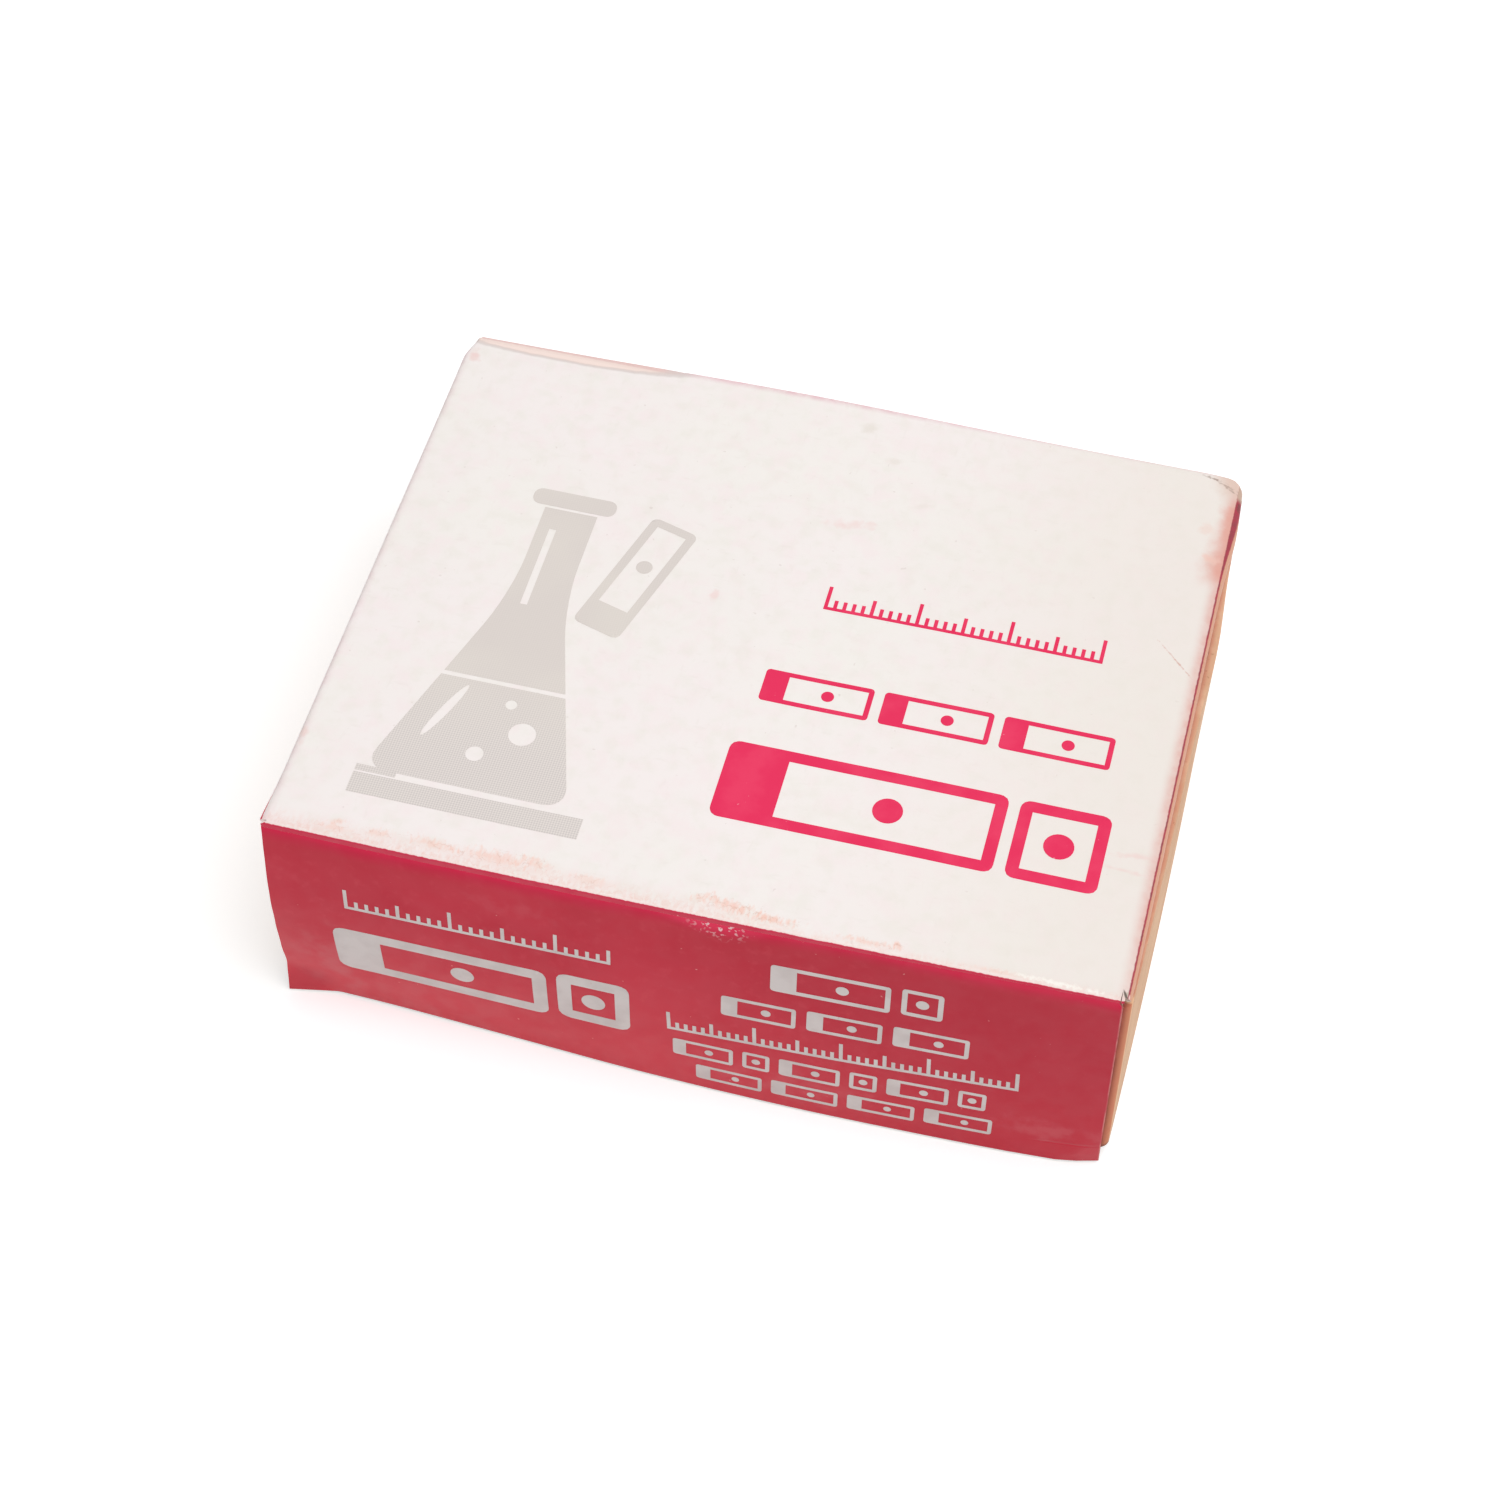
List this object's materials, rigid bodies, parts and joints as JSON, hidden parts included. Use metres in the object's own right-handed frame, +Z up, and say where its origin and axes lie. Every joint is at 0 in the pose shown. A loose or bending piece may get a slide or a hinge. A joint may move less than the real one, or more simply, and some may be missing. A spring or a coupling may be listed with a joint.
{
  "type": "microscope slide box",
  "caption": "Hinged card box with an open strawboard tray of glass microscope slides standing on edge, a printed lid with tucked end flaps and a free front flap.",
  "frame": {"origin": "middle of the closed box's footprint, on the surface that it stands on", "axes": "+X along the slides and the front edge, +Y from the front flap to the hinge at the back, +Z up"},
  "size_m": [0.0804, 0.0646, 0.0271],
  "materials": {
    "strawboard": "plain unbleached strawboard, matte",
    "printed_card_back": "coated card printed red outside, grey-tan board inside",
    "printed_card_lid": "coated off-white card, end flaps printed red, worn at the folds",
    "printed_card_front": "coated card printed red with silver-grey marks, satin",
    "slide_glass": "clear soda-lime glass with plain cut edges"
  },
  "bodies": {
    "box": {"tray": "strawboard", "base_and_back": "printed_card_back", "slide_01": "slide_glass", "slide_02": "slide_glass", "slide_03": "slide_glass", "slide_04": "slide_glass", "slide_05": "slide_glass", "slide_06": "slide_glass", "slide_07": "slide_glass", "slide_08": "slide_glass", "slide_09": "slide_glass", "slide_10": "slide_glass", "slide_11": "slide_glass", "slide_12": "slide_glass", "slide_13": "slide_glass", "slide_14": "slide_glass", "slide_15": "slide_glass", "slide_16": "slide_glass", "slide_17": "slide_glass", "slide_18": "slide_glass", "slide_19": "slide_glass", "slide_20": "slide_glass", "slide_21": "slide_glass", "slide_22": "slide_glass", "slide_23": "slide_glass", "slide_24": "slide_glass", "slide_25": "slide_glass", "slide_26": "slide_glass", "slide_27": "slide_glass", "slide_28": "slide_glass", "slide_29": "slide_glass", "slide_30": "slide_glass", "slide_31": "slide_glass", "slide_32": "slide_glass", "slide_33": "slide_glass", "slide_34": "slide_glass", "slide_35": "slide_glass", "slide_36": "slide_glass", "slide_37": "slide_glass", "slide_38": "slide_glass", "slide_39": "slide_glass", "slide_40": "slide_glass", "slide_41": "slide_glass", "slide_42": "slide_glass", "slide_43": "slide_glass", "slide_44": "slide_glass", "slide_45": "slide_glass", "slide_46": "slide_glass", "slide_47": "slide_glass", "slide_48": "slide_glass", "slide_49": "slide_glass", "slide_50": "slide_glass"},
    "lid": {"lid": "printed_card_lid"},
    "front_flap": {"front_flap": "printed_card_front"}
  },
  "joints": [
    {"name": "lid_hinge", "type": "hinge", "parent": "box", "child": "lid", "pos_m": [-0.00019, 0.03229, 0.0267], "axis": [-1, 0, 0], "range_deg": [0, 180]},
    {"name": "front_flap_hinge", "type": "hinge", "parent": "lid", "child": "front_flap", "pos_m": [-0.00019, -0.03069, 0.0267], "axis": [-1, 0, 0], "range_deg": [0, 90]}
  ]
}
